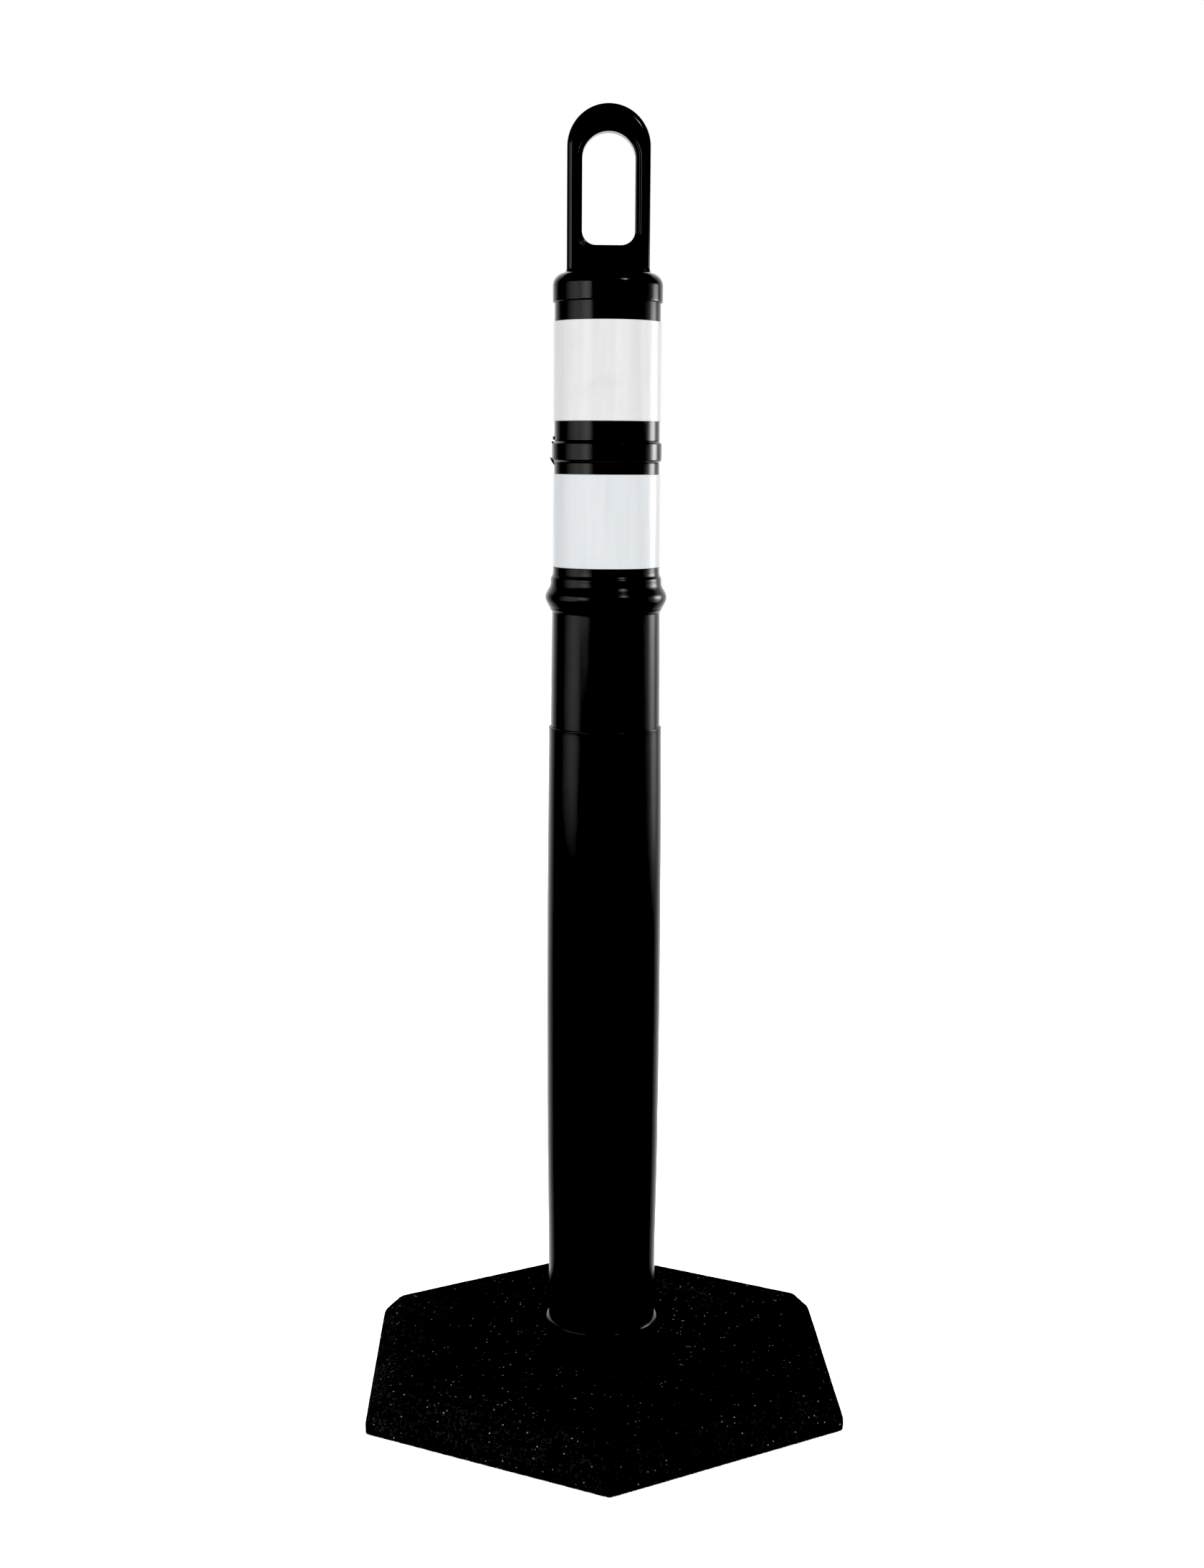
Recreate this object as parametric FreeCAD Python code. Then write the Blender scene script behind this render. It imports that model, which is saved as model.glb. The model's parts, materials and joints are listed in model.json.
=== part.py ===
import FreeCAD, Part
import math
import os

# Loop-top delineator post on a drop-over hexagonal rubber base. Millimetres, +Z up.
# Origin: centre of the underside of the base, on the post's axis.
# The base's hexagon has two of its corners on the Y axis; the hand loop lies in the XZ plane.

V = FreeCAD.Vector

# ---------------------------------------------------------------- driving dimensions
TOTAL_H = 1143.0            # 45 inches, floor to the top of the hand loop

# rubber base
BASE_R_BOTTOM = 242.4       # corner radius at the floor
BASE_R_MID = 243.1          # corner radius at the foot of the bevel
BASE_R_TOP = 219.8          # corner radius of the top face
BASE_BAND_H = 13.45         # height of the upright side band
BASE_H = 35.40              # thickness at the rim
BASE_CORNER_R = 5.0         # rounding of the upright corners
BASE_EDGE_R = 3.2           # rounding of the rims
DISH_R_OUT = 163.0          # shallow round dish in the top
DISH_R_IN = 132.0
DISH_DEPTH = 7.0
BORE_R = 54.0              # slides over the whole post
BORE_LEAD = 2.0             # lead-in chamfer, top of the bore
RECESS_R = 78.0             # underside recess for the foot's flange
RECESS_H = 6.5
GRIP_GROOVES = (100.0, 124.0, 148.0, 172.0)   # radii of the underside grip grooves
GRIP_W, GRIP_D = 4.0, 2.0

# foot socket
FOOT_FLANGE_R = 75.0
FOOT_FLANGE_T = 6.0
FOOT_R = 51.1
FOOT_TOP = 60.0
FOOT_SHOULDER_R = 2.3
FOOT_BORE_R = 48.75
FOOT_LEDGE_R = 44.5
FOOT_LEDGE_H = 8.0

# lower tube: height, outer radius
LOWER_TUBE = [
    (62.0, 48.65), (84.0, 48.66), (110.0, 48.72), (131.0, 48.92), (156.0, 49.30),
    (181.0, 49.70), (205.0, 50.05), (230.0, 50.28), (254.0, 50.42), (279.0, 50.60),
    (303.0, 50.74), (327.0, 50.86), (351.0, 50.94), (375.0, 50.97), (399.0, 50.95),
    (423.0, 50.89), (447.0, 50.83), (471.0, 50.78), (494.0, 50.70), (518.0, 50.58),
    (541.0, 50.40), (564.0, 50.15), (600.0, 49.81),
]
RIVET_ZONE_Z = 564.0        # above this the outside is a plain cone
LOWER_SPIGOT_R = 48.65      # straight part inside the foot socket
LOWER_WALL = 3.2
LOWER_TOP = 608.8
LOWER_LIP_R = 50.00         # the flared lip at the top
SOCKET_R = 48.20            # bored mouth that takes the upper tube
SOCKET_FLOOR = 538.0

# upper tube: height, outer radius, from its lower end up
UPPER_SPIGOT_R = 48.10
UPPER_TAPER = [(608.8, 48.18), (634.0, 47.98), (657.0, 47.78), (680.0, 47.54), (700.0, 47.36), (709.2, 47.26)]
BEAD_FLARE = [(710.3, 47.37), (711.5, 48.07), (712.7, 48.87), (714.0, 49.40), (715.4, 50.20)]
BEAD_CONE_TOP = (719.6, 52.35)
BEAD_CROWN = (723.6, 53.18)
BEAD_BACK = (727.0, 52.44)
BEAD_BACK_END = (732.6, 49.37)
STEP_RING = [(734.3, 48.82), (736.6, 48.48), (739.0, 48.44)]
STEP_SHOULDER = [(740.6, 48.10), (741.9, 47.42), (743.4, 46.84), (745.2, 46.60)]
LEDGE_TOP = 750.0           # the lower band stands on this ledge
LEDGE_R = 46.58
TUBE_R = 45.80              # seat of both bands and of the cap
UPPER_WALL = 3.0
RIB_Z0, RIB_Z1 = 840.9, 858.6
RIB_R = 47.68
RIB_CHAMFER = 1.9
RIB_GROOVE = 0.5            # fine groove at each foot of the rib
UPPER_END = 990.5

# reflective bands: bottom, top
UPPER_BAND = (876.0, 960.8)
LOWER_BAND = (750.1, 830.6)
BAND_SLEEVE_R0 = 45.86
BAND_SLEEVE_R1 = 46.62
SHEET_R0 = 46.64
SHEET_R1 = 46.98
SHEET_INSET = 0.5           # the sheet stops this short of the sleeve's ends
SHEET_OVERLAP_DEG = 11.0    # overlap seam, at the back

# handle cap
SKIRT_Z = 976.8
SKIRT_R = 47.62
SKIRT_BORE_R = 45.88
SHOULDER_Z = 991.0
SHOULDER_R = 11.0
CAP_TOP = SHOULDER_Z + SHOULDER_R
CAP_ROOF_Z = 997.4
LOOP_HALF_W = 35.8
LOOP_T = 21.0
LOOP_EDGE_R = 6.0
HOLE_HALF_W = 22.8
HOLE_BOTTOM = 1025.2
HOLE_TOP = 1119.7
HOLE_CORNER_R = 12.0
HOLE_LIP_W = 3.4            # recessed lip round the hole
HOLE_LIP_SLOPE = 1.2
HOLE_LIP_D = 2.2
HOLE_EDGE_R = 1.4
LOOP_WALL = 3.2
LOOP_CORE_T = 12.0

# blind rivets, in pairs at the back
RIVET_SHANK_R = 2.4
RIVET_HOLE_R = 2.5
RIVET_HEAD_R = 4.6
RIVET_HEAD_H = 1.3
RIVET_TAIL_R = 3.4
RIVET_TAIL_L = 2.6
RIVET_ANGLES = (50.0, 130.0)
CAP_RIVET_Z = 984.0
JOINT_RIVET_Z = 578.0
FOOT_RIVET_Z = 44.0


# ---------------------------------------------------------------- helpers
def line(a, b):
    return Part.LineSegment(V(a[0], 0, a[1]), V(b[0], 0, b[1])).toShape()


def arc(a, m, b):
    return Part.Arc(V(a[0], 0, a[1]), V(m[0], 0, m[1]), V(b[0], 0, b[1])).toShape()


def spline(points):
    c = Part.BSplineCurve()
    c.interpolate([V(r, 0, z) for r, z in points])
    return c.toShape()


def revolve(edges):
    """A closed profile in the XZ half-plane, turned round the Z axis."""
    wire = Part.Wire(Part.__sortEdges__(edges))
    face = Part.Face(wire)
    solid = face.revolve(V(0, 0, 0), V(0, 0, 1), 360)
    return clean(solid)


def clean(shape):
    s = shape
    if s.ShapeType != "Solid" and len(s.Solids) == 1:
        s = s.Solids[0]
    if s.Volume < 0:
        s.reverse()
    return s


def polygon(points):
    return [line(points[i], points[(i + 1) % len(points)]) for i in range(len(points))]


def ring(r0, r1, z0, z1):
    return revolve(polygon([(r0, z0), (r1, z0), (r1, z1), (r0, z1)]))


def hexagon(corner_r, z, round_r):
    """A hexagon's outline with rounded corners. Two corners lie on the Y axis."""
    k = round_r / math.cos(math.radians(30))
    arcs = []
    for i in range(6):
        a = -90 + 60 * i
        c = V((corner_r - k) * math.cos(math.radians(a)), (corner_r - k) * math.sin(math.radians(a)), z)
        arcs.append([c + V(round_r * math.cos(math.radians(a + d)), round_r * math.sin(math.radians(a + d)), 0)
                     for d in (-30, 0, 30)])
    edges = []
    for i in range(6):
        p0, p1, p2 = arcs[i]
        edges.append(Part.Arc(p0, p1, p2).toShape())
        edges.append(Part.LineSegment(p2, arcs[(i + 1) % 6][0]).toShape())
    return Part.Wire(edges)


# ---------------------------------------------------------------- rubber base
def make_rubber_base():
    lower = Part.makeLoft([hexagon(BASE_R_BOTTOM, 0, BASE_CORNER_R), hexagon(BASE_R_MID, BASE_BAND_H, BASE_CORNER_R)], True, True)
    upper = Part.makeLoft([hexagon(BASE_R_MID, BASE_BAND_H, BASE_CORNER_R), hexagon(BASE_R_TOP, BASE_H, BASE_CORNER_R)], True, True)
    body = clean(lower.fuse(upper))
    rims = [e for e in body.Edges if e.BoundBox.ZMax - e.BoundBox.ZMin < 0.01
            and (e.BoundBox.ZMin > BASE_H - 0.01 or abs(e.BoundBox.ZMin - BASE_BAND_H) < 0.01)]
    body = clean(body.makeFillet(BASE_EDGE_R, rims))
    dish = revolve([
        line((0, BASE_H - DISH_DEPTH), (DISH_R_IN - 8, BASE_H - DISH_DEPTH)),
        spline([(DISH_R_IN - 8, BASE_H - DISH_DEPTH), (DISH_R_IN - 2, BASE_H - DISH_DEPTH + 0.35),
                (DISH_R_IN + 6, BASE_H - DISH_DEPTH + 1.7), (DISH_R_OUT - 6, BASE_H - 1.3),
                (DISH_R_OUT + 1, BASE_H - 0.1), (DISH_R_OUT + 4, BASE_H + 0.2)]),
        line((DISH_R_OUT + 4, BASE_H + 0.2), (DISH_R_OUT + 4, BASE_H + 5)),
        line((DISH_R_OUT + 4, BASE_H + 5), (0, BASE_H + 5)),
        line((0, BASE_H + 5), (0, BASE_H - DISH_DEPTH)),
    ])
    floor = BASE_H - DISH_DEPTH
    bore = revolve(polygon([
        (0, -1), (RECESS_R + 0.5, -1), (RECESS_R, 0), (RECESS_R, RECESS_H), (BORE_R, RECESS_H),
        (BORE_R, floor - BORE_LEAD), (BORE_R + BORE_LEAD, floor), (BORE_R + BORE_LEAD, floor + 9), (0, floor + 9),
    ]))
    body = body.cut(dish).cut(bore)
    for r in GRIP_GROOVES:
        body = body.cut(revolve(polygon([(r, -1), (r + GRIP_W, -1), (r + GRIP_W, GRIP_D - 0.5),
                                         (r + GRIP_W - 0.5, GRIP_D), (r + 0.5, GRIP_D), (r, GRIP_D - 0.5)])))
    return clean(body)


# ---------------------------------------------------------------- foot socket
def make_foot_socket():
    s = FOOT_SHOULDER_R
    c = s * (1 - math.sqrt(0.5))
    foot = revolve([
        line((FOOT_LEDGE_R, 0), (FOOT_FLANGE_R, 0)),
        line((FOOT_FLANGE_R, 0), (FOOT_FLANGE_R, FOOT_FLANGE_T - 1.5)),
        line((FOOT_FLANGE_R, FOOT_FLANGE_T - 1.5), (FOOT_FLANGE_R - 1.5, FOOT_FLANGE_T)),
        line((FOOT_FLANGE_R - 1.5, FOOT_FLANGE_T), (FOOT_R + 1.2, FOOT_FLANGE_T)),
        arc((FOOT_R + 1.2, FOOT_FLANGE_T), (FOOT_R + 0.35, FOOT_FLANGE_T + 0.35), (FOOT_R, FOOT_FLANGE_T + 1.2)),
        line((FOOT_R, FOOT_FLANGE_T + 1.2), (FOOT_R, FOOT_TOP - s)),
        arc((FOOT_R, FOOT_TOP - s), (FOOT_R - c, FOOT_TOP - c), (FOOT_R - s, FOOT_TOP)),
        line((FOOT_R - s, FOOT_TOP), (FOOT_BORE_R, FOOT_TOP)),
        line((FOOT_BORE_R, FOOT_TOP), (FOOT_BORE_R, FOOT_LEDGE_H)),
        line((FOOT_BORE_R, FOOT_LEDGE_H), (FOOT_LEDGE_R, FOOT_LEDGE_H)),
        line((FOOT_LEDGE_R, FOOT_LEDGE_H), (FOOT_LEDGE_R, 0)),
    ])
    return foot


# ---------------------------------------------------------------- tubes
def make_lower_tube():
    z_foot = FOOT_LEDGE_H
    outer = [(r, z) for z, r in LOWER_TUBE if z < RIVET_ZONE_Z + 1]
    top = (LOWER_TUBE[-1][1], LOWER_TUBE[-1][0])
    inner = [(r - LOWER_WALL, z) for z, r in LOWER_TUBE if z < SOCKET_FLOOR - 12]
    r_ledge = 50.42 - LOWER_WALL
    inner.append((r_ledge, SOCKET_FLOOR))
    r_in0 = LOWER_SPIGOT_R - LOWER_WALL
    edges = [
        line((r_in0, z_foot), (LOWER_SPIGOT_R, z_foot)),
        line((LOWER_SPIGOT_R, z_foot), outer[0]),
        spline(outer),
        line(outer[-1], top),           # plain cone where the rivets pass
        spline([top, (49.82, 603.5), (49.89, 606.4), (LOWER_LIP_R, 607.9)]),
        arc((LOWER_LIP_R, 607.9), (LOWER_LIP_R - 0.22, LOWER_TOP - 0.24), (LOWER_LIP_R - 0.7, LOWER_TOP)),
        line((LOWER_LIP_R - 0.7, LOWER_TOP), (SOCKET_R + 0.25, LOWER_TOP)),
        line((SOCKET_R + 0.25, LOWER_TOP), (SOCKET_R, LOWER_TOP - 0.6)),
        line((SOCKET_R, LOWER_TOP - 0.6), (SOCKET_R, SOCKET_FLOOR)),
        line((SOCKET_R, SOCKET_FLOOR), inner[-1]),
        spline(inner),
        line(inner[0], (r_in0, z_foot)),
    ]
    return revolve(edges)


def make_upper_tube():
    w = UPPER_WALL
    ch = RIB_CHAMFER
    low = SOCKET_FLOOR + 0.4
    taper = [(r, z) for z, r in UPPER_TAPER]
    flare = [(r, z) for z, r in BEAD_FLARE]
    step = [(r, z) for z, r in STEP_RING]
    shoulder = [(r, z) for z, r in STEP_SHOULDER]
    cone = (BEAD_CONE_TOP[1], BEAD_CONE_TOP[0])
    crown = (BEAD_CROWN[1], BEAD_CROWN[0])
    back = (BEAD_BACK[1], BEAD_BACK[0])
    back_end = (BEAD_BACK_END[1], BEAD_BACK_END[0])
    g = RIB_GROOVE
    edges = [
        line((UPPER_SPIGOT_R - w, low), (UPPER_SPIGOT_R - 0.8, low)),
        line((UPPER_SPIGOT_R - 0.8, low), (UPPER_SPIGOT_R, low + 1.5)),
        line((UPPER_SPIGOT_R, low + 1.5), (UPPER_SPIGOT_R, 606.0)),
        line((UPPER_SPIGOT_R, 606.0), taper[0]),
        spline(taper),
        spline([taper[-1]] + flare),
        line(flare[-1], cone),
        arc(cone, crown, back),
        line(back, back_end),
        spline([back_end] + step),
        spline([step[-1]] + shoulder),
        line(shoulder[-1], (LEDGE_R, LEDGE_TOP - 2.0)),
        line((LEDGE_R, LEDGE_TOP - 2.0), (LEDGE_R, LEDGE_TOP - 0.2)),
        line((LEDGE_R, LEDGE_TOP - 0.2), (LEDGE_R - 0.2, LEDGE_TOP)),
        line((LEDGE_R - 0.2, LEDGE_TOP), (TUBE_R, LEDGE_TOP)),
        line((TUBE_R, LEDGE_TOP), (TUBE_R, RIB_Z0 - 1.0)),
        line((TUBE_R, RIB_Z0 - 1.0), (TUBE_R - g, RIB_Z0 - g)),
        line((TUBE_R - g, RIB_Z0 - g), (TUBE_R, RIB_Z0)),
        line((TUBE_R, RIB_Z0), (RIB_R - 0.3, RIB_Z0 + ch - 0.3)),
        arc((RIB_R - 0.3, RIB_Z0 + ch - 0.3), (RIB_R - 0.06, RIB_Z0 + ch + 0.02), (RIB_R, RIB_Z0 + ch + 0.5)),
        line((RIB_R, RIB_Z0 + ch + 0.5), (RIB_R, RIB_Z1 - ch - 0.5)),
        arc((RIB_R, RIB_Z1 - ch - 0.5), (RIB_R - 0.06, RIB_Z1 - ch - 0.02), (RIB_R - 0.3, RIB_Z1 - ch + 0.3)),
        line((RIB_R - 0.3, RIB_Z1 - ch + 0.3), (TUBE_R, RIB_Z1)),
        line((TUBE_R, RIB_Z1), (TUBE_R - g, RIB_Z1 + g)),
        line((TUBE_R - g, RIB_Z1 + g), (TUBE_R, RIB_Z1 + 1.0)),
        line((TUBE_R, RIB_Z1 + 1.0), (TUBE_R, UPPER_END - 0.8)),
        line((TUBE_R, UPPER_END - 0.8), (TUBE_R - 0.8, UPPER_END)),
        line((TUBE_R - 0.8, UPPER_END), (TUBE_R - w, UPPER_END)),
        # the wall follows the outside, as a blown wall does
        line((TUBE_R - w, UPPER_END), (TUBE_R - w, RIB_Z1 + 0.5)),
        line((TUBE_R - w, RIB_Z1 + 0.5), (RIB_R - w, RIB_Z1 - 2.5)),
        line((RIB_R - w, RIB_Z1 - 2.5), (RIB_R - w, RIB_Z0 + 2.5)),
        line((RIB_R - w, RIB_Z0 + 2.5), (TUBE_R - w, RIB_Z0 - 0.5)),
        line((TUBE_R - w, RIB_Z0 - 0.5), (TUBE_R - w, 748.0)),
        line((TUBE_R - w, 748.0), (45.1, 738.0)),
        line((45.1, 738.0), (45.7, 733.0)),
        spline([(45.7, 733.0), (48.9, 727.0), (49.8, 723.6), (48.7, 719.5), (45.5, 713.0), (UPPER_TAPER[-1][1] - w, 706.0)]),
        line((UPPER_TAPER[-1][1] - w, 706.0), (UPPER_SPIGOT_R - w, 606.0)),
        line((UPPER_SPIGOT_R - w, 606.0), (UPPER_SPIGOT_R - w, low)),
    ]
    return revolve(edges)


# ---------------------------------------------------------------- reflective bands
def make_band_sleeve(band):
    z0, z1 = band
    c = 0.25
    return revolve(polygon([
        (BAND_SLEEVE_R0, z0), (BAND_SLEEVE_R1 - c, z0), (BAND_SLEEVE_R1, z0 + c),
        (BAND_SLEEVE_R1, z1 - c), (BAND_SLEEVE_R1 - c, z1), (BAND_SLEEVE_R0, z1),
    ]))


def make_sheet(band):
    z0, z1 = band[0] + SHEET_INSET, band[1] - SHEET_INSET
    sheet = ring(SHEET_R0, SHEET_R1, z0, z1)
    t = SHEET_R1 - SHEET_R0
    lap = Part.Face(Part.Wire(Part.__sortEdges__(polygon([
        (SHEET_R1 - 0.02, z0), (SHEET_R1 + t - 0.04, z0), (SHEET_R1 + t - 0.04, z1), (SHEET_R1 - 0.02, z1)]))))
    lap = lap.revolve(V(0, 0, 0), V(0, 0, 1), SHEET_OVERLAP_DEG)
    lap.rotate(V(0, 0, 0), V(0, 0, 1), 90 - SHEET_OVERLAP_DEG / 2)
    return clean(sheet.fuse(lap).removeSplitter())


# ---------------------------------------------------------------- handle cap
def loop_wire(half_w, z_bottom, y):
    """The loop's outline: straight sides and a half-round top that ends at TOTAL_H less the inset."""
    inset = LOOP_HALF_W - half_w
    top = TOTAL_H - inset
    zc = top - half_w
    p = [V(-half_w, y, z_bottom), V(half_w, y, z_bottom), V(half_w, y, zc), V(0, y, top), V(-half_w, y, zc)]
    return Part.Wire([
        Part.LineSegment(p[0], p[1]).toShape(),
        Part.LineSegment(p[1], p[2]).toShape(),
        Part.Arc(p[2], p[3], p[4]).toShape(),
        Part.LineSegment(p[4], p[0]).toShape(),
    ])


def hole_wire(off, y):
    """The hand hole's outline, grown by off: half-round top and rounded lower corners."""
    w = HOLE_HALF_W + off
    b = HOLE_BOTTOM - off
    top = HOLE_TOP + off
    zc = top - w
    r = HOLE_CORNER_R + off
    k = r * (1 - math.sqrt(0.5))
    a = [V(-w + r, y, b), V(w - r, y, b), V(w, y, b + r), V(w, y, zc), V(-w, y, zc), V(-w, y, b + r)]
    return Part.Wire([
        Part.LineSegment(a[0], a[1]).toShape(),
        Part.Arc(a[1], V(w - k, y, b + k), a[2]).toShape(),
        Part.LineSegment(a[2], a[3]).toShape(),
        Part.Arc(a[3], V(0, y, top), a[4]).toShape(),
        Part.LineSegment(a[4], a[5]).toShape(),
        Part.Arc(a[5], V(-w + k, y, b + k), a[0]).toShape(),
    ])


def make_handle_cap():
    t = LOOP_T
    loop = Part.Face(loop_wire(LOOP_HALF_W, CAP_ROOF_Z + 1.5, -t / 2)).extrude(V(0, t, 0))
    outline = [e for e in loop.Edges
               if abs(abs(e.BoundBox.YMin) - t / 2) < 1e-3 and abs(e.BoundBox.YMax - e.BoundBox.YMin) < 1e-3
               and e.BoundBox.ZMax > CAP_ROOF_Z + 10]
    loop = clean(loop.makeFillet(LOOP_EDGE_R, outline))
    hole = Part.Face(hole_wire(0, -t)).extrude(V(0, 2 * t, 0))
    loop = clean(loop.cut(hole))
    rim = [e for e in loop.Edges
           if abs(e.BoundBox.YMax - e.BoundBox.YMin) < 1e-3 and abs(abs(e.BoundBox.YMin) - t / 2) < 1e-3
           and e.BoundBox.XMax <= HOLE_HALF_W + 0.01 and e.BoundBox.XMin >= -HOLE_HALF_W - 0.01
           and e.BoundBox.ZMin > HOLE_BOTTOM - 0.01 and e.BoundBox.ZMax < HOLE_TOP + 0.01]
    lips = []
    for side in (-1, 1):
        y_face = side * (t / 2 + 0.01)
        y_deep = side * (t / 2 - HOLE_LIP_D)
        tool = Part.makeLoft([hole_wire(HOLE_LIP_W, y_deep), hole_wire(HOLE_LIP_W + HOLE_LIP_SLOPE, y_face)], True, True)
        lips.append(clean(tool))
    for tool in lips:
        loop = clean(loop.cut(tool))
    # round the edges of the hand hole
    y_lip = t / 2 - HOLE_LIP_D
    rim = [e for e in loop.Edges
           if abs(e.BoundBox.YMax - e.BoundBox.YMin) < 1e-3 and abs(abs(e.BoundBox.YMin) - y_lip) < 1e-3
           and e.BoundBox.XMax <= HOLE_HALF_W + 0.01 and e.BoundBox.XMin >= -HOLE_HALF_W - 0.01
           and e.BoundBox.ZMin > HOLE_BOTTOM - 0.01 and e.BoundBox.ZMax < HOLE_TOP + 0.01]
    loop = clean(loop.makeFillet(HOLE_EDGE_R, rim))
    # the cap itself
    s = SHOULDER_R
    c = s * math.sqrt(0.5)
    cap = revolve([
        line((SKIRT_BORE_R, SKIRT_Z), (SKIRT_R - 0.7, SKIRT_Z)),
        arc((SKIRT_R - 0.7, SKIRT_Z), (SKIRT_R - 0.2, SKIRT_Z + 0.2), (SKIRT_R, SKIRT_Z + 0.7)),
        line((SKIRT_R, SKIRT_Z + 0.7), (SKIRT_R, SHOULDER_Z)),
        arc((SKIRT_R, SHOULDER_Z), (SKIRT_R - s + c, SHOULDER_Z + c), (SKIRT_R - s, CAP_TOP)),
        line((SKIRT_R - s, CAP_TOP), (0, CAP_TOP)),
        line((0, CAP_TOP), (0, CAP_ROOF_Z)),
        line((0, CAP_ROOF_Z), (SKIRT_BORE_R - 8, CAP_ROOF_Z)),
        arc((SKIRT_BORE_R - 8, CAP_ROOF_Z), (SKIRT_BORE_R - 8 + 5.6, CAP_ROOF_Z - 1.8), (SKIRT_BORE_R, CAP_ROOF_Z - 6.4)),
        line((SKIRT_BORE_R, CAP_ROOF_Z - 6.4), (SKIRT_BORE_R, SKIRT_Z)),
    ])
    cap = clean(cap.fuse(loop).removeSplitter())
    # blown hollow of the loop, open to the inside of the cap
    core = Part.Face(loop_wire(LOOP_HALF_W - LOOP_WALL, CAP_ROOF_Z - 1.0, -LOOP_CORE_T / 2)).extrude(V(0, LOOP_CORE_T, 0))
    post_hole = Part.Face(hole_wire(LOOP_WALL, -t)).extrude(V(0, 2 * t, 0))
    core = clean(core.cut(post_hole))
    return clean(cap.cut(core))


# ---------------------------------------------------------------- rivets
def rivet(angle, z, r_surface, r_inside):
    """A blind rivet along a radius: domed head on the outside, shank, and tail bulb inside."""
    ax = 0.0
    h = RIVET_HEAD_H
    r = RIVET_HEAD_R
    ball = (r * r + h * h) / (2 * h)
    x0 = r_surface
    k = math.sqrt(ball * ball - (r / 2) ** 2) - (ball - h)
    e = [
        Part.LineSegment(V(x0 - 1.2, 0, 0), V(x0 - 1.2, 0, r)).toShape(),
        Part.LineSegment(V(x0 - 1.2, 0, r), V(x0 + 0.12, 0, r)).toShape(),
        Part.Arc(V(x0 + 0.12, 0, r), V(x0 + 0.12 + k, 0, r / 2), V(x0 + 0.12 + h, 0, 0)).toShape(),
        Part.LineSegment(V(x0 + 0.12 + h, 0, 0), V(x0 - 1.2, 0, 0)).toShape(),
    ]
    head = clean(Part.Face(Part.Wire(Part.__sortEdges__(e))).revolve(V(0, 0, 0), V(1, 0, 0), 360))
    head = head.cut(Part.makeCylinder(r_surface + 0.03, 40, V(0, 0, -20), V(0, 0, 1)))
    head = max(head.Solids, key=lambda s: s.Volume)
    shank = Part.makeCylinder(RIVET_SHANK_R, r_surface + 0.4 - (r_inside - 0.6), V(r_inside - 0.6, 0, 0), V(1, 0, 0))
    tail = Part.makeCylinder(RIVET_TAIL_R, RIVET_TAIL_L, V(r_inside - 0.35 - RIVET_TAIL_L, 0, 0), V(1, 0, 0))
    tail = tail.makeFillet(1.0, [x for x in tail.Edges if x.BoundBox.XMax - x.BoundBox.XMin < 1e-3])
    body = clean(head.fuse([shank, tail]).removeSplitter())
    body.translate(V(0, 0, z))
    body.rotate(V(0, 0, 0), V(0, 0, 1), angle)
    return body


def rivet_hole(angle, z):
    h = Part.makeCylinder(RIVET_HOLE_R, 30, V(35, 0, 0), V(1, 0, 0))
    h.translate(V(0, 0, z))
    h.rotate(V(0, 0, 0), V(0, 0, 1), angle)
    return h


# ---------------------------------------------------------------- assembly
def main():
    os.makedirs("parts", exist_ok=True)
    nodes = {}
    nodes["rubber_base"] = make_rubber_base()
    nodes["foot_socket"] = make_foot_socket()
    nodes["lower_tube"] = make_lower_tube()
    nodes["upper_tube"] = make_upper_tube()
    nodes["handle_cap"] = make_handle_cap()
    nodes["upper_band_sleeve"] = make_band_sleeve(UPPER_BAND)
    nodes["upper_reflective_sheet"] = make_sheet(UPPER_BAND)
    nodes["lower_band_sleeve"] = make_band_sleeve(LOWER_BAND)
    nodes["lower_reflective_sheet"] = make_sheet(LOWER_BAND)

    joints = {
        "cap_rivets": (CAP_RIVET_Z, SKIRT_R, TUBE_R - UPPER_WALL, ("handle_cap", "upper_tube")),
        "joint_rivets": (JOINT_RIVET_Z, 50.07, UPPER_SPIGOT_R - UPPER_WALL, ("lower_tube", "upper_tube")),
        "foot_rivets": (FOOT_RIVET_Z, FOOT_R, LOWER_SPIGOT_R - LOWER_WALL, ("foot_socket", "lower_tube")),
    }
    for name, (z, r_out, r_in, through) in joints.items():
        solids = []
        for a in RIVET_ANGLES:
            for n in through:
                nodes[n] = clean(nodes[n].cut(rivet_hole(a, z)))
            solids.append(rivet(a, z, r_out, r_in))
        nodes[name] = Part.makeCompound(solids)

    for name, shape in nodes.items():
        ok = shape.isValid()
        n = len(shape.Solids)
        bb = shape.BoundBox
        print(f"{name:24s} solids {n} valid {ok} volume {shape.Volume/1000:9.2f} cm3  z {bb.ZMin:8.2f} {bb.ZMax:8.2f}  x {bb.XMin:8.2f} {bb.XMax:8.2f}")
        shape.exportStep(f"parts/{name}.step")


main()
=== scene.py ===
import json
import math

import bpy
import bmesh
import numpy as np
from mathutils import Matrix, Vector

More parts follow.
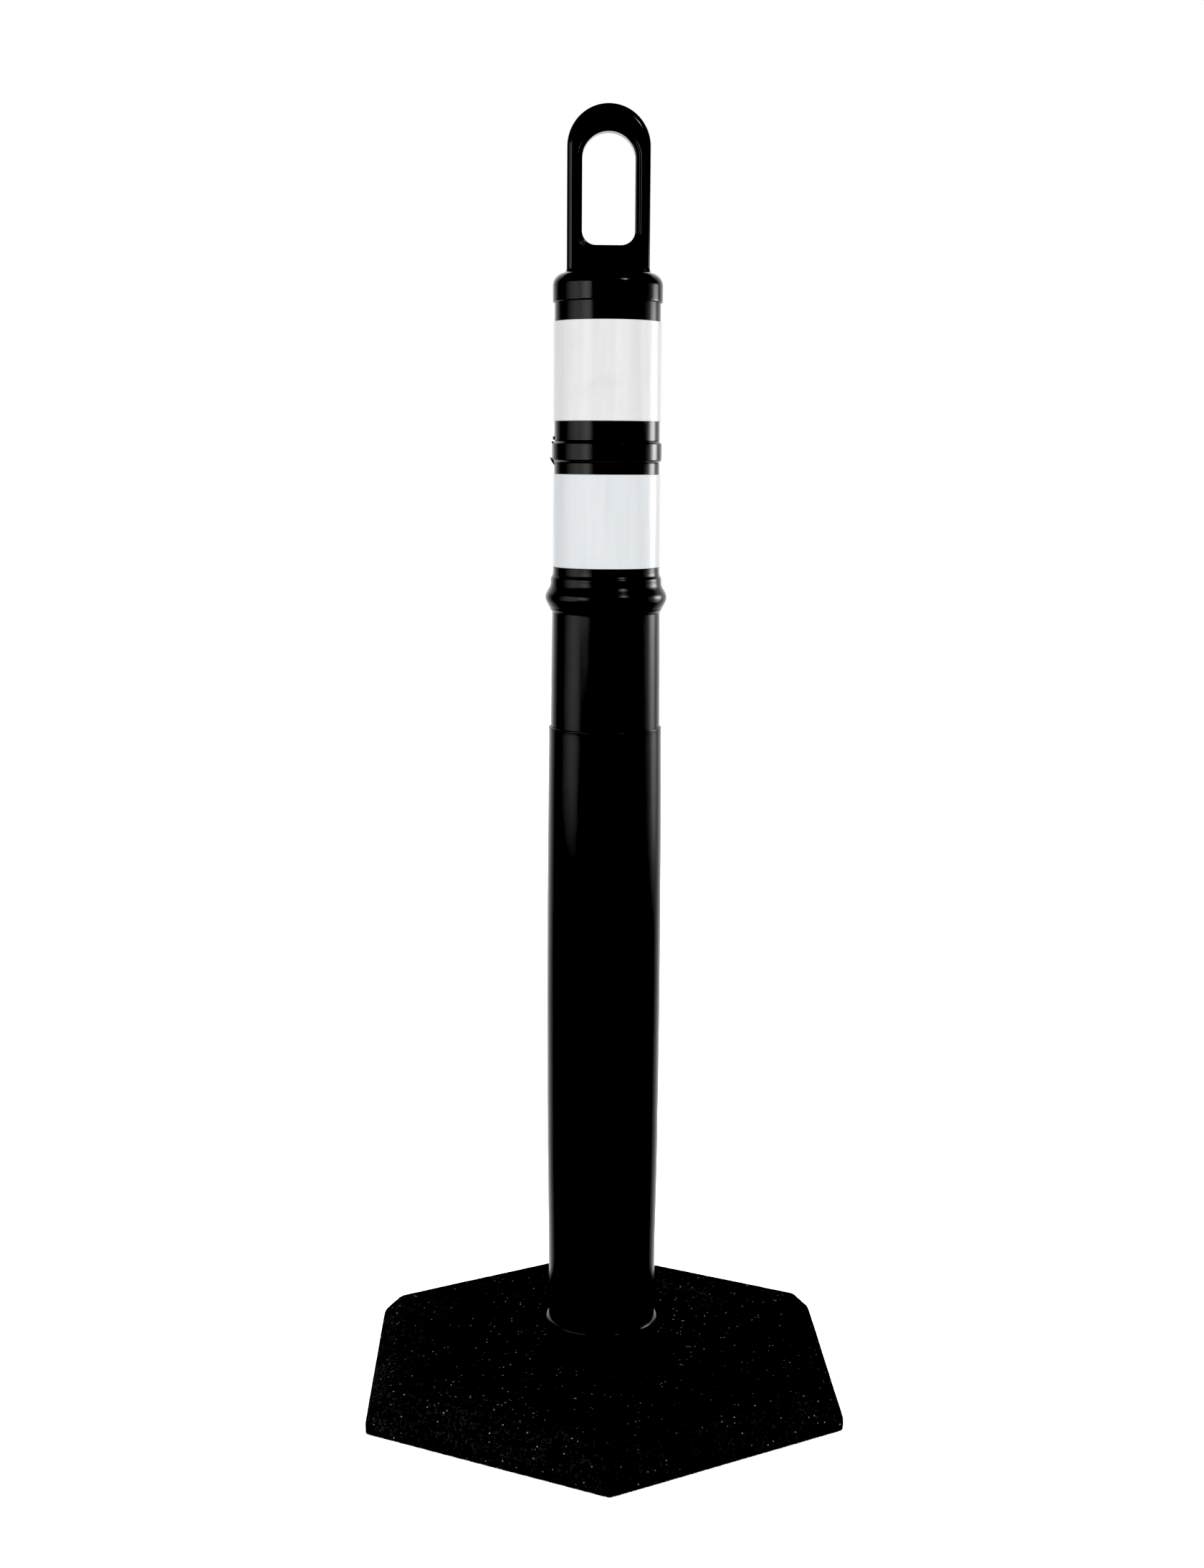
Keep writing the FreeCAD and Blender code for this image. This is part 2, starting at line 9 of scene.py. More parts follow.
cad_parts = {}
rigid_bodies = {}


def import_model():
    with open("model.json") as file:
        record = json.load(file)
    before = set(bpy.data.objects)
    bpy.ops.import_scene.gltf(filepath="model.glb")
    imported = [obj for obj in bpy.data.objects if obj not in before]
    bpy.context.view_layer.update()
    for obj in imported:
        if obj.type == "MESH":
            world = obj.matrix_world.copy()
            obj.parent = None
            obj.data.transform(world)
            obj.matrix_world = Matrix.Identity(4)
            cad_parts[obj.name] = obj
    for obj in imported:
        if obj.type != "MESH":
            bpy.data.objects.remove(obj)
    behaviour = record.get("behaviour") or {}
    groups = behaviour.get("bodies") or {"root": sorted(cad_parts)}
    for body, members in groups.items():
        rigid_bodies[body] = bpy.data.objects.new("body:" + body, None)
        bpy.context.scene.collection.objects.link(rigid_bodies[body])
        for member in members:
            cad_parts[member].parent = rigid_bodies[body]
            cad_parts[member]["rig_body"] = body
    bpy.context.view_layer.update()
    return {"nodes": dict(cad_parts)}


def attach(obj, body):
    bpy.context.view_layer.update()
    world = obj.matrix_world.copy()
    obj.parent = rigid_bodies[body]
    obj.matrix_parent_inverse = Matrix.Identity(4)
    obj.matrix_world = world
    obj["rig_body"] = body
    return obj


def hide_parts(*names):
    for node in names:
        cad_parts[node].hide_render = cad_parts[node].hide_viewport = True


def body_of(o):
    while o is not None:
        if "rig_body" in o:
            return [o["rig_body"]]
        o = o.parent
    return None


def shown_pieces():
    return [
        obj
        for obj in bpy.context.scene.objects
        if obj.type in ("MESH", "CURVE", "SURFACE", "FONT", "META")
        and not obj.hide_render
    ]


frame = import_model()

# Loop-top delineator post on a drop-over hexagonal rubber base.
# Lengths below are millimetres, turned to metres when a mesh is made.
MM = 0.001
PI = math.pi

# ------------------------------------------------------------------ dimensions, the same as the CAD model's
TOTAL_H = 1143.0
BASE_R_BOTTOM, BASE_R_MID, BASE_R_TOP = 242.4, 243.1, 219.8
BASE_BAND_H, BASE_H = 13.45, 35.40
BASE_CORNER_R, BASE_EDGE_R = 5.0, 3.2
DISH_R_OUT, DISH_R_IN, DISH_DEPTH = 163.0, 132.0, 7.0
BORE_R, BORE_LEAD = 54.0, 2.0
RECESS_R, RECESS_H = 78.0, 6.5
GRIP_GROOVES = (100.0, 124.0, 148.0, 172.0)
GRIP_W, GRIP_D = 4.0, 2.0

LOWER_TUBE = [
    (62.0, 48.65), (84.0, 48.66), (110.0, 48.72), (131.0, 48.92), (156.0, 49.30),
    (181.0, 49.70), (205.0, 50.05), (230.0, 50.28), (254.0, 50.42), (279.0, 50.60),
    (303.0, 50.74), (327.0, 50.86), (351.0, 50.94), (375.0, 50.97), (399.0, 50.95),
    (423.0, 50.89), (447.0, 50.83), (471.0, 50.78), (494.0, 50.70), (518.0, 50.58),
    (541.0, 50.40), (564.0, 50.15), (582.0, 49.97), (596.0, 49.84),
]
TUBE_R = 45.80
SLEEVE_R1 = 46.62
SHEET_R0, SHEET_R1 = 46.64, 46.98
UPPER_BAND = (876.0, 960.8)
LOWER_BAND = (750.1, 830.6)
RIB_Z0, RIB_Z1, RIB_R = 840.9, 858.6, 47.68
RIVET_ANGLES = (50.0, 130.0)


# ------------------------------------------------------------------ numbers
def hash01(i, j, k, seed=0):
    """A fixed value from 0 to 1 for each whole-number cell."""
    n = (np.asarray(i, np.int64) * 374761393 + np.asarray(j, np.int64) * 668265263
         + np.asarray(k, np.int64) * 2147483647 + seed * 974634777)
    n = (n ^ (n >> 13)) * 1274126177
    n = n & 0x7FFFFFFF
    n = (n ^ (n >> 16)) & 0xFFFFFF
    return n / float(0xFFFFFF)


def noise3(p, scale, seed=0):
    """Smooth value noise from -1 to 1 at points p (n, 3), with cells of the given size."""
    q = p / scale
    i = np.floor(q).astype(np.int64)
    f = q - i
    f = f * f * (3 - 2 * f)
    out = 0.0
    for dx in (0, 1):
        wx = f[:, 0] if dx else 1 - f[:, 0]
        for dy in (0, 1):
            wy = f[:, 1] if dy else 1 - f[:, 1]
            for dz in (0, 1):
                wz = f[:, 2] if dz else 1 - f[:, 2]
                out = out + wx * wy * wz * hash01(i[:, 0] + dx, i[:, 1] + dy, i[:, 2] + dz, seed)
    return out * 2 - 1


def spline(points, step):
    """A natural cubic through (z, r) points, as (r, z) points about step apart."""
    z = np.array([p[0] for p in points], float)
    r = np.array([p[1] for p in points], float)
    n = len(z)
    h = np.diff(z)
    a = np.zeros((n, n))
    b = np.zeros(n)
    a[0, 0] = a[-1, -1] = 1
    for i in range(1, n - 1):
        a[i, i - 1], a[i, i], a[i, i + 1] = h[i - 1], 2 * (h[i - 1] + h[i]), h[i]
        b[i] = 6 * ((r[i + 1] - r[i]) / h[i] - (r[i] - r[i - 1]) / h[i - 1])
    m = np.linalg.solve(a, b)
    out = []
    for i in range(n - 1):
        k = max(1, int(math.ceil(h[i] / step)))
        for t in range(k):
            x = z[i] + h[i] * t / k
            u, v = z[i + 1] - x, x - z[i]
            y = (m[i] * u ** 3 + m[i + 1] * v ** 3) / (6 * h[i]) + (r[i] / h[i] - m[i] * h[i] / 6) * u \
                + (r[i + 1] / h[i] - m[i + 1] * h[i] / 6) * v
            out.append((y, x))
    out.append((r[-1], z[-1]))
    return out


def arc(a, m, b, n):
    """Points on the circle through a, m and b, from a to b."""
    ax, ay = a
    bx, by = m
    cx, cy = b
    d = 2 * (ax * (by - cy) + bx * (cy - ay) + cx * (ay - by))
    ux = ((ax * ax + ay * ay) * (by - cy) + (bx * bx + by * by) * (cy - ay) + (cx * cx + cy * cy) * (ay - by)) / d
    uy = ((ax * ax + ay * ay) * (cx - bx) + (bx * bx + by * by) * (ax - cx) + (cx * cx + cy * cy) * (bx - ax)) / d
    r = math.hypot(ax - ux, ay - uy)
    t0 = math.atan2(ay - uy, ax - ux)
    tm = math.atan2(by - uy, bx - ux)
    t1 = math.atan2(cy - uy, cx - ux)
    while tm < t0:
        tm += 2 * PI
    while t1 < t0:
        t1 += 2 * PI
    if tm > t1:
        t1 -= 2 * PI
    return [(ux + r * math.cos(t0 + (t1 - t0) * i / n), uy + r * math.sin(t0 + (t1 - t0) * i / n)) for i in range(n + 1)]


def smin(a, b, k):
    h = np.maximum(k - np.abs(a - b), 0) / k
    return np.minimum(a, b) - h * h * k * 0.25


def smax(a, b, k):
    return -smin(-a, -b, k)


# ------------------------------------------------------------------ mesh makers
def to_object(name, verts, quads, smooth=True, sharp=None):
    me = bpy.data.meshes.new(name)
    v = np.asarray(verts, np.float64) * MM
    me.from_pydata([tuple(p) for p in v.tolist()], [], [tuple(q) for q in quads])
    me.update()
    if smooth:
        me.polygons.foreach_set("use_smooth", [True] * len(me.polygons))
    ob = bpy.data.objects.new(name, me)
    bpy.context.scene.collection.objects.link(ob)
    if sharp:
        mark_sharp(me, sharp)
    return ob


def mark_sharp(me, angle_deg):
    """Edges where the faces turn by more than the angle shade sharp."""
    n = len(me.polygons)
    nor = np.zeros(n * 3)
    me.polygons.foreach_get("normal", nor)
    nor = nor.reshape(-1, 3)
    index = {}
    for p in me.polygons:
        for k in p.edge_keys:
            index.setdefault(k, []).append(p.index)
    c = math.cos(math.radians(angle_deg))
    flags = []
    for e in me.edges:
        f = index.get(tuple(sorted(e.vertices)), [])
        flags.append(len(f) == 2 and float(nor[f[0]] @ nor[f[1]]) < c)
    att = me.attributes.get("sharp_edge") or me.attributes.new("sharp_edge", "BOOLEAN", "EDGE")
    att.data.foreach_set("value", flags)


def angles(n, parting=True):
    """Angles round the axis, with closer ones at the two parting lines on +X and -X."""
    t = set(round(2 * PI * i / n, 9) for i in range(n))
    if parting:
        for c in (0.0, PI):
            for d in (-0.022, -0.014, -0.009, -0.005, 0.0, 0.005, 0.009, 0.014, 0.022):
                t.add(round((c + d) % (2 * PI), 9))
    t = sorted(t)
    keep = [t[0]]
    for x in t[1:]:
        if x - keep[-1] > 0.0035:
            keep.append(x)
    return np.array(keep)


def lathe(name, profile, n=224, wave=0.0, ridge=0.0, seed=1, outside=None, sharp=38):
    """A closed (r, z) profile turned round Z. The outside gets a slight waviness and a parting line."""
    th = angles(n, ridge > 0)
    m = len(th)
    prof = np.array(profile, float)
    k = len(prof)
    r = np.repeat(prof[:, 0], m)
    z = np.repeat(prof[:, 1], m)
    t = np.tile(th, k)
    out = np.ones(k, bool) if outside is None else np.array([outside(a, b) for a, b in profile])
    on = np.repeat(out, m).astype(float)
    if wave:
        w = (0.45 * np.sin(2 * t + 0.013 * z + seed) + 0.30 * np.sin(3 * t - 0.021 * z + 2.1 * seed)
             + 0.18 * np.sin(5 * t + 0.034 * z + 0.7 * seed) + 0.10 * np.sin(9 * t + 0.055 * z + seed))
        r = r + on * wave * w
    if ridge:
        d = np.minimum(np.abs((t + PI) % (2 * PI) - PI), np.abs(t - PI)) * r
        r = r + on * ridge * np.exp(-(d / 0.36) ** 2) * (0.75 + 0.25 * np.sin(0.11 * z + 3 * seed))
    v = np.stack([r * np.cos(t), r * np.sin(t), z], 1)
    quads = []
    for i in range(k):
        a, b = i * m, ((i + 1) % k) * m
        for j in range(m):
            j2 = (j + 1) % m
            quads.append((a + j, a + j2, b + j2, b + j))
    return to_object(name, v, quads, True, sharp)


def surface_nets(f, lo, hi, h, name, steps=3, jitter=None, sharp=None):
    """A closed mesh on the zero level of f(points), which is negative inside."""
    nx, ny, nz = [int(math.ceil((hi[i] - lo[i]) / h)) + 1 for i in range(3)]
    xs, ys, zs = [lo[i] + h * np.arange(n) for i, n in enumerate((nx, ny, nz))]
    val = np.empty((nx, ny, nz), np.float32)
    for i in range(nx):
        g = np.stack(np.meshgrid([xs[i]], ys, zs, indexing="ij"), -1).reshape(-1, 3)
        val[i] = f(g).reshape(ny, nz)
    ins = val < 0
    c = np.zeros((nx - 1, ny - 1, nz - 1), np.int8)
    for a in (0, 1):
        for b in (0, 1):
            for d in (0, 1):
                c += ins[a:nx - 1 + a, b:ny - 1 + b, d:nz - 1 + d]
    cells = np.argwhere((c > 0) & (c < 8))
    ident = -np.ones(c.shape, np.int64)
    ident[tuple(cells.T)] = np.arange(len(cells))
    acc = np.zeros((len(cells), 3))
    cnt = np.zeros(len(cells))
    corners = [(a, b, d) for a in (0, 1) for b in (0, 1) for d in (0, 1)]
    edges = [(p, q) for p in corners for q in corners if sum(abs(p[i] - q[i]) for i in range(3)) == 1 and p < q]
    for p, q in edges:
        va = val[cells[:, 0] + p[0], cells[:, 1] + p[1], cells[:, 2] + p[2]].astype(float)
        vb = val[cells[:, 0] + q[0], cells[:, 1] + q[1], cells[:, 2] + q[2]].astype(float)
        cross = (va < 0) != (vb < 0)
        t = np.where(cross, va / np.where(cross, va - vb, 1), 0)
        pt = np.array(p) + t[:, None] * (np.array(q) - np.array(p))
        acc += pt * cross[:, None]
        cnt += cross
    v = (cells + acc / cnt[:, None]) * h + np.array(lo)
    for _ in range(steps):
        d = f(v)
        e = 0.05
        g = np.stack([(f(v + np.array(o) * e) - f(v - np.array(o) * e)) / (2 * e) for o in ((1, 0, 0), (0, 1, 0), (0, 0, 1))], 1)
        g2 = np.maximum((g * g).sum(1), 0.25)
        move = -g * (d / g2)[:, None]
        s = np.linalg.norm(move, axis=1)
        v = v + move * np.minimum(1, 0.4 * h / np.maximum(s, 1e-9))[:, None]
    if jitter is not None:
        v = jitter(v)
    quads = []
    dirs = (((1, 0, 0), (0, 1, 0), (0, 0, 1)), ((0, 1, 0), (0, 0, 1), (1, 0, 0)), ((0, 0, 1), (1, 0, 0), (0, 1, 0)))
    for ax, u, w in dirs:
        A = ins[:nx - ax[0], :ny - ax[1], :nz - ax[2]]
        B = ins[ax[0]:, ax[1]:, ax[2]:]
        e = np.argwhere(A != B)
        ok = np.ones(len(e), bool)
        for i in range(3):
            if u[i] or w[i]:
                ok &= (e[:, i] >= 1) & (e[:, i] <= (nx, ny, nz)[i] - 2)
            else:
                ok &= e[:, i] <= (nx, ny, nz)[i] - 2
        e = e[ok]
        flip = ~A[tuple(e.T)]
        u, w = np.array(u), np.array(w)
        q = [ident[tuple((e - u - w).T)], ident[tuple((e - w).T)], ident[tuple(e.T)], ident[tuple((e - u).T)]]
        q = np.stack(q, 1)
        q[flip] = q[flip][:, ::-1]
        quads.append(q)
    quads = np.concatenate(quads)
    return to_object(name, v, quads.tolist(), True, sharp)


# ------------------------------------------------------------------ rubber base
def hex_distance(x, y, r):
    """Signed distance to a hexagon with two corners on Y and corner radius r, corners rounded."""
    ap = r * math.cos(math.radians(30)) - BASE_CORNER_R
    d = np.full(x.shape, -1e9)
    c = [(math.cos(math.radians(a)), math.sin(math.radians(a))) for a in (0, 60, 120)]
    dots = [np.abs(x * a + y * b) - ap for a, b in c]
    inner = np.maximum(np.maximum(dots[0], dots[1]), dots[2])
    # outside a corner the distance is to the corner point
    R = ap / math.cos(math.radians(30))
    cor = np.full(x.shape, 1e9)
    for i in range(6):
        t = math.radians(-90 + 60 * i)
        cor = np.minimum(cor, np.hypot(x - R * math.cos(t), y - R * math.sin(t)))
    srt = np.sort(np.stack(dots), axis=0)
    near = (srt[-1] > 0) & (srt[-2] > -0.5774 * srt[-1] - 1e-9) & (srt[-2] > -srt[-1] * 0.5)
    use = near & (srt[-2] > 0)
    return np.where(use, np.maximum(inner, np.minimum(cor, inner * 1.1547)), inner) - BASE_CORNER_R


CA = math.radians(30)


def base_sdf(p):
    x, y, z = p[:, 0], p[:, 1], p[:, 2]
    w = 0.55 * noise3(p * np.array([1, 1, 0.6]), 34.0, 3) + 0.25 * noise3(p, 12.0, 4)
    zt = BASE_H
    # side band, leaning out slightly, then the bevel
    k1 = (BASE_R_MID - BASE_R_BOTTOM) * math.cos(CA) / BASE_BAND_H
    k2 = (BASE_R_MID - BASE_R_TOP) * math.cos(CA) / (zt - BASE_BAND_H)
    dh = hex_distance(x, y, BASE_R_MID)
    band = dh + k1 * (BASE_BAND_H - np.clip(z, -5, BASE_BAND_H + 30)) * (z < BASE_BAND_H)
    bevel = (dh + k2 * (z - BASE_BAND_H)) / math.sqrt(1 + k2 * k2)
    d = smax(band + 0.22 + 0.35 * w * 0.5, bevel + 0.2 + 0.4 * w * 0.5, 4.6)
    d = smax(d, z - zt + 0.12 + 0.22 * w, 4.4)
    rho = np.hypot(x, y)
    t = np.clip((rho - DISH_R_IN) / (DISH_R_OUT - DISH_R_IN), 0, 1)
    dish = zt - DISH_DEPTH + DISH_DEPTH * t * t * (3 - 2 * t)
    d = smax(d, (z - dish) * 0.93 + 0.15 * w, 1.2)
    bore = BORE_R - rho
    lead = (BORE_R + BORE_LEAD - rho) + (z - (zt - DISH_DEPTH))
    d = smax(d, bore + 0.1 * w, 1.0)
    d = smax(d, lead * 0.7071 + 0.12 * w, 1.4)
    d = smax(d, -z + 0.02, 0.8)
    d = np.maximum(d, -np.maximum(rho - RECESS_R, z - RECESS_H))
    for r in GRIP_GROOVES:
        d = np.maximum(d, -np.maximum(np.abs(rho - r - GRIP_W / 2) - GRIP_W / 2, z - GRIP_D))
    return d


def crumb(v):
    """Crumb-rubber grain in the mesh itself: small lumps and pits, never outside the moulding."""
    g = 0.5 * noise3(v, 3.1, 11) + 0.5 * noise3(v, 1.9, 12)
    pit = np.clip(noise3(v, 4.6, 13) - 0.35, 0, 1)
    depth = 0.16 + 0.16 * g + 0.75 * pit
    rho = np.hypot(v[:, 0], v[:, 1])
    n = np.stack([v[:, 0] / np.maximum(rho, 1), v[:, 1] / np.maximum(rho, 1), np.zeros(len(v))], 1)
    top = (v[:, 2] > BASE_H - 9.5) & (hex_distance(v[:, 0], v[:, 1], BASE_R_MID) < -12)
    side = hex_distance(v[:, 0], v[:, 1], BASE_R_MID) > -26
    wt = np.where(top, 1.0, 0.0)
    ws = np.where(side & ~top & (v[:, 2] > 0.6), 1.0, 0.0)
    v = v.copy()
    v[:, 2] -= wt * depth
    v[:, :2] -= n[:, :2] * (ws * depth)[:, None]
    v[:, 2] = np.maximum(v[:, 2], 0.0)
    return v


# ------------------------------------------------------------------ handle cap
HALF_W, LOOP_T, LOOP_EDGE = 35.8, 21.0, 6.0
HOLE_W, HOLE_B, HOLE_T, HOLE_C = 22.8, 1025.2, 1119.7, 12.0
LIP_W, LIP_S, LIP_D = 3.4, 1.2, 2.2


def capsule(x, z, r, z0, z1):
    return np.hypot(x, z - np.clip(z, z0, z1)) - r


def hole_distance(x, z):
    a = capsule(x, z, HOLE_W, 900.0, HOLE_T - HOLE_W)
    qx = np.abs(x) - HOLE_W + HOLE_C
    qz = HOLE_B - z + HOLE_C
    b = np.minimum(np.maximum(qx, qz), 0) + np.hypot(np.maximum(qx, 0), np.maximum(qz, 0)) - HOLE_C
    return np.maximum(a, b)


def cap_sdf(p):
    x, y, z = p[:, 0], p[:, 1], p[:, 2]
    rho = np.hypot(x, y)
    # loop
    d2 = capsule(x, z, HALF_W, 950.0, TOTAL_H - HALF_W)
    q0, q1 = d2 + LOOP_EDGE, np.abs(y) - LOOP_T / 2 + LOOP_EDGE
    loop = np.minimum(np.maximum(q0, q1), 0) + np.hypot(np.maximum(q0, 0), np.maximum(q1, 0)) - LOOP_EDGE
    hd = hole_distance(x, z)
    t = np.clip((np.abs(y) - (LOOP_T / 2 - LIP_D)) / LIP_D, 0, 1.2)
    lip = np.maximum(hd - LIP_W - LIP_S * t, LOOP_T / 2 - LIP_D - np.abs(y))
    loop = smax(loop, -lip, 0.9)
    loop = smax(loop, -hd, 2.0)
    loop = np.maximum(loop, 998.6 - z)
    # cap
    q0, q1 = rho - 47.62 + 11.0, z - 1002.0 + 11.0
    cap = np.minimum(np.maximum(q0, q1), 0) + np.hypot(np.maximum(q0, 0), np.maximum(q1, 0)) - 11.0
    cap = smax(cap, 976.8 - z, 1.1)
    q0, q1 = rho - 45.88 + 6.4, z - 997.4 + 6.4
    cav = np.minimum(np.maximum(q0, q1), 0) + np.hypot(np.maximum(q0, 0), np.maximum(q1, 0)) - 6.4
    d = smin(cap, loop, 3.6)
    return smax(d, -cav, 0.3)


# ------------------------------------------------------------------ tubes, foot, sleeves and sheets
def foot_profile():
    s, R, T = 2.3, 51.1, 60.0
    c = s * (1 - math.sqrt(0.5))
    p = [(44.5, 0.0), (75.0, 0.0), (75.0, 4.5), (74.6, 5.4), (73.5, 6.0), (60.0, 6.0)]
    p += arc((R + 1.2, 6.0), (R + 0.35, 6.35), (R, 7.2), 5)
    p += [(R, z) for z in np.linspace(9, 56, 20)]
    p += arc((R, T - s), (R - c, T - c), (R - s, T), 8)
    p += [(48.75, T), (48.75, 30.0), (48.75, 8.0), (44.5, 8.0)]
    return p


def lower_profile():
    out = spline(LOWER_TUBE, 5.0)
    lip = spline([(600.0, 49.81), (603.5, 49.82), (606.4, 49.89), (607.9, 50.00)], 0.7)
    top = arc((50.0, 607.9), (49.78, 608.56), (49.3, 608.8), 5)
    p = [(45.45, 8.0), (48.65, 8.0), (48.65, 30.0), (48.65, 58.0)] + out + lip + top[1:]
    p += [(48.45, 608.8), (48.20, 608.2), (48.20, 570.0), (48.20, 538.0), (47.22, 538.0)]
    p += [(r - 3.2, z) for z, r in reversed(LOWER_TUBE) if z < 526]
    return p


def upper_profile():
    w = 3.0
    p = [(45.1, 538.4), (47.3, 538.4), (48.10, 539.9), (48.10, 570.0), (48.10, 606.0)]
    p += spline([(608.8, 48.18), (634.0, 47.98), (657.0, 47.78), (680.0, 47.54), (700.0, 47.36), (709.2, 47.26)], 3.0)
    p += spline([(709.9, 47.27), (710.3, 47.37), (711.5, 48.07), (712.7, 48.87), (714.0, 49.40), (715.4, 50.20)], 0.4)
    p += [(51.3, 717.5)]
    p += arc((52.35, 719.6), (53.18, 723.6), (52.44, 727.0), 16)
    p += [(50.9, 729.8)]
    p += spline([(732.6, 49.37), (734.3, 48.82), (736.6, 48.48), (739.0, 48.44)], 0.5)
    p += spline([(739.6, 48.38), (740.6, 48.10), (741.9, 47.42), (743.4, 46.84), (745.2, 46.60)], 0.4)
    p += [(46.58, 748.0), (46.58, 749.8), (46.38, 750.0), (45.80, 750.0)]
    p += [(TUBE_R, z) for z in np.linspace(752, 838, 20)]
    p += [(TUBE_R, RIB_Z0 - 1.0), (TUBE_R - 0.5, RIB_Z0 - 0.5), (TUBE_R, RIB_Z0)]
    p += arc((RIB_R - 0.3, RIB_Z0 + 1.6), (RIB_R - 0.06, RIB_Z0 + 1.92), (RIB_R, RIB_Z0 + 2.4), 4)
    p += [(RIB_R, 846.0), (RIB_R, 850.0), (RIB_R, 854.0)]
    p += arc((RIB_R, RIB_Z1 - 2.4), (RIB_R - 0.06, RIB_Z1 - 1.92), (RIB_R - 0.3, RIB_Z1 - 1.6), 4)
    p += [(TUBE_R, RIB_Z1), (TUBE_R - 0.5, RIB_Z1 + 0.5), (TUBE_R, RIB_Z1 + 1.0)]
    p += [(TUBE_R, z) for z in np.linspace(862, 987, 26)]
    p += [(TUBE_R, 989.7), (TUBE_R - 0.8, 990.5), (TUBE_R - w, 990.5), (TUBE_R - w, 859.1), (RIB_R - w, 856.1),
          (RIB_R - w, 843.4), (TUBE_R - w, 840.4), (TUBE_R - w, 748.0), (45.1, 738.0), (45.7, 733.0), (48.9, 727.0),
          (49.8, 723.6), (48.7, 719.5), (45.5, 713.0), (44.26, 706.0), (45.1, 606.0)]
    return p


def sleeve_profile(band):
    z0, z1 = band
    p = [(45.86, z0), (SLEEVE_R1 - 0.25, z0), (SLEEVE_R1 - 0.07, z0 + 0.07), (SLEEVE_R1, z0 + 0.25)]
    p += [(SLEEVE_R1, z) for z in np.linspace(z0 + 4, z1 - 4, 12)]
    p += [(SLEEVE_R1, z1 - 0.25), (SLEEVE_R1 - 0.07, z1 - 0.07), (SLEEVE_R1 - 0.25, z1), (45.86, z1)]
    return p


def sheet(name, band, seed):
    """Sheeting wrapped once round with its end lapped over its start, at the back."""
    z0, z1 = band[0] + 0.5, band[1] - 0.5
    t = SHEET_R1 - SHEET_R0
    start = math.radians(90 - 5.5)
    total = 2 * PI + math.radians(11.0)
    n, m = 300, 40
    a = np.linspace(0, total, n)
    z = np.linspace(z0, z1, m)
    lift = np.where(a > 2 * PI - 0.06, (np.clip((a - (2 * PI - 0.06)) / 0.06, 0, 1)) * (t - 0.04), 0.0)
    A, Z = np.meshgrid(a, z, indexing="ij")
    L = np.repeat(lift[:, None], m, 1)
    end = np.clip(np.minimum(Z - z0, z1 - Z) / 2.0, 0, 1)
    pts = np.stack([(SHEET_R1 * np.cos(A)).ravel(), (SHEET_R1 * np.sin(A)).ravel(), Z.ravel()], 1)
    w = (0.035 * noise3(pts * np.array([1, 1, 0.35]), 13.0, seed) + 0.020 * noise3(pts, 5.0, seed + 1)).reshape(A.shape) * end
    outer = SHEET_R1 + L + w - 0.02
    inner = SHEET_R0 + L * 1.0 + 0.0 * w
    v, quads = [], []
    ang = A + start
    for R in (outer, inner):
        v.append(np.stack([R * np.cos(ang), R * np.sin(ang), Z], -1).reshape(-1, 3))
    v = np.concatenate(v)
    N = n * m
    for i in range(n - 1):
        for j in range(m - 1):
            q = (i * m + j, (i + 1) * m + j, (i + 1) * m + j + 1, i * m + j + 1)
            quads.append(q)
            quads.append(tuple(N + k for k in reversed(q)))
    for i in range(n - 1):
        a0, a1 = i * m, (i + 1) * m
        quads.append((N + a0, N + a1, a1, a0))
        b0, b1 = a0 + m - 1, a1 + m - 1
        quads.append((b0, b1, N + b1, N + b0))
    for j in range(m - 1):
        quads.append((N + j, j, j + 1, N + j + 1))
        e = (n - 1) * m + j
        quads.append((e, N + e, N + e + 1, e + 1))
    return to_object(name, v, quads, True, 40)


def flash_sdf(p):
    """Moulding flash on the -X parting line: a round nub above the rib, a tick on its corner, a torn spur below."""
    def ell(c, r):
        q = (p - np.array(c)) / np.array(r)
        k = np.linalg.norm(q, axis=1)
        return (k - 1) * min(r)
    d = ell((-46.0, 0.1, 861.5), (1.3, 0.9, 1.65))
    d = np.minimum(d, ell((-47.3, -0.1, 857.7), (0.95, 0.6, 1.0)))
    a, b = np.array([-49.0, -0.3, 844.4]), np.array([-45.6, 0.1, 838.4])
    ab = b - a
    t = np.clip(((p - a) @ ab) / (ab @ ab), 0, 1)
    r = 0.32 + 0.55 * np.sin(PI * np.clip(t * 0.85 + 0.12, 0, 1))
    leaf = np.linalg.norm(p - (a + t[:, None] * ab), axis=1) - r
    return smin(d, leaf, 0.5)


# ------------------------------------------------------------------ materials
def material(name):
    m = bpy.data.materials.new(name)
    m.use_nodes = True
    nt = m.node_tree
    nt.nodes.clear()
    out = nt.nodes.new("ShaderNodeOutputMaterial")
    bs = nt.nodes.new("ShaderNodeBsdfPrincipled")
    nt.links.new(bs.outputs["BSDF"], out.inputs["Surface"])
    return m, nt, bs


def coords(nt, scale=(1, 1, 1)):
    tc = nt.nodes.new("ShaderNodeTexCoord")
    mp = nt.nodes.new("ShaderNodeMapping")
    mp.inputs["Scale"].default_value = scale
    nt.links.new(tc.outputs["Object"], mp.inputs["Vector"])
    return mp.outputs["Vector"]


def noise(nt, vec, scale, detail=3.0, rough=0.5, dist=0.0):
    n = nt.nodes.new("ShaderNodeTexNoise")
    n.inputs["Scale"].default_value = scale
    n.inputs["Detail"].default_value = detail
    n.inputs["Roughness"].default_value = rough
    n.inputs["Distortion"].default_value = dist
    nt.links.new(vec, n.inputs["Vector"])
    return n.outputs["Fac"]


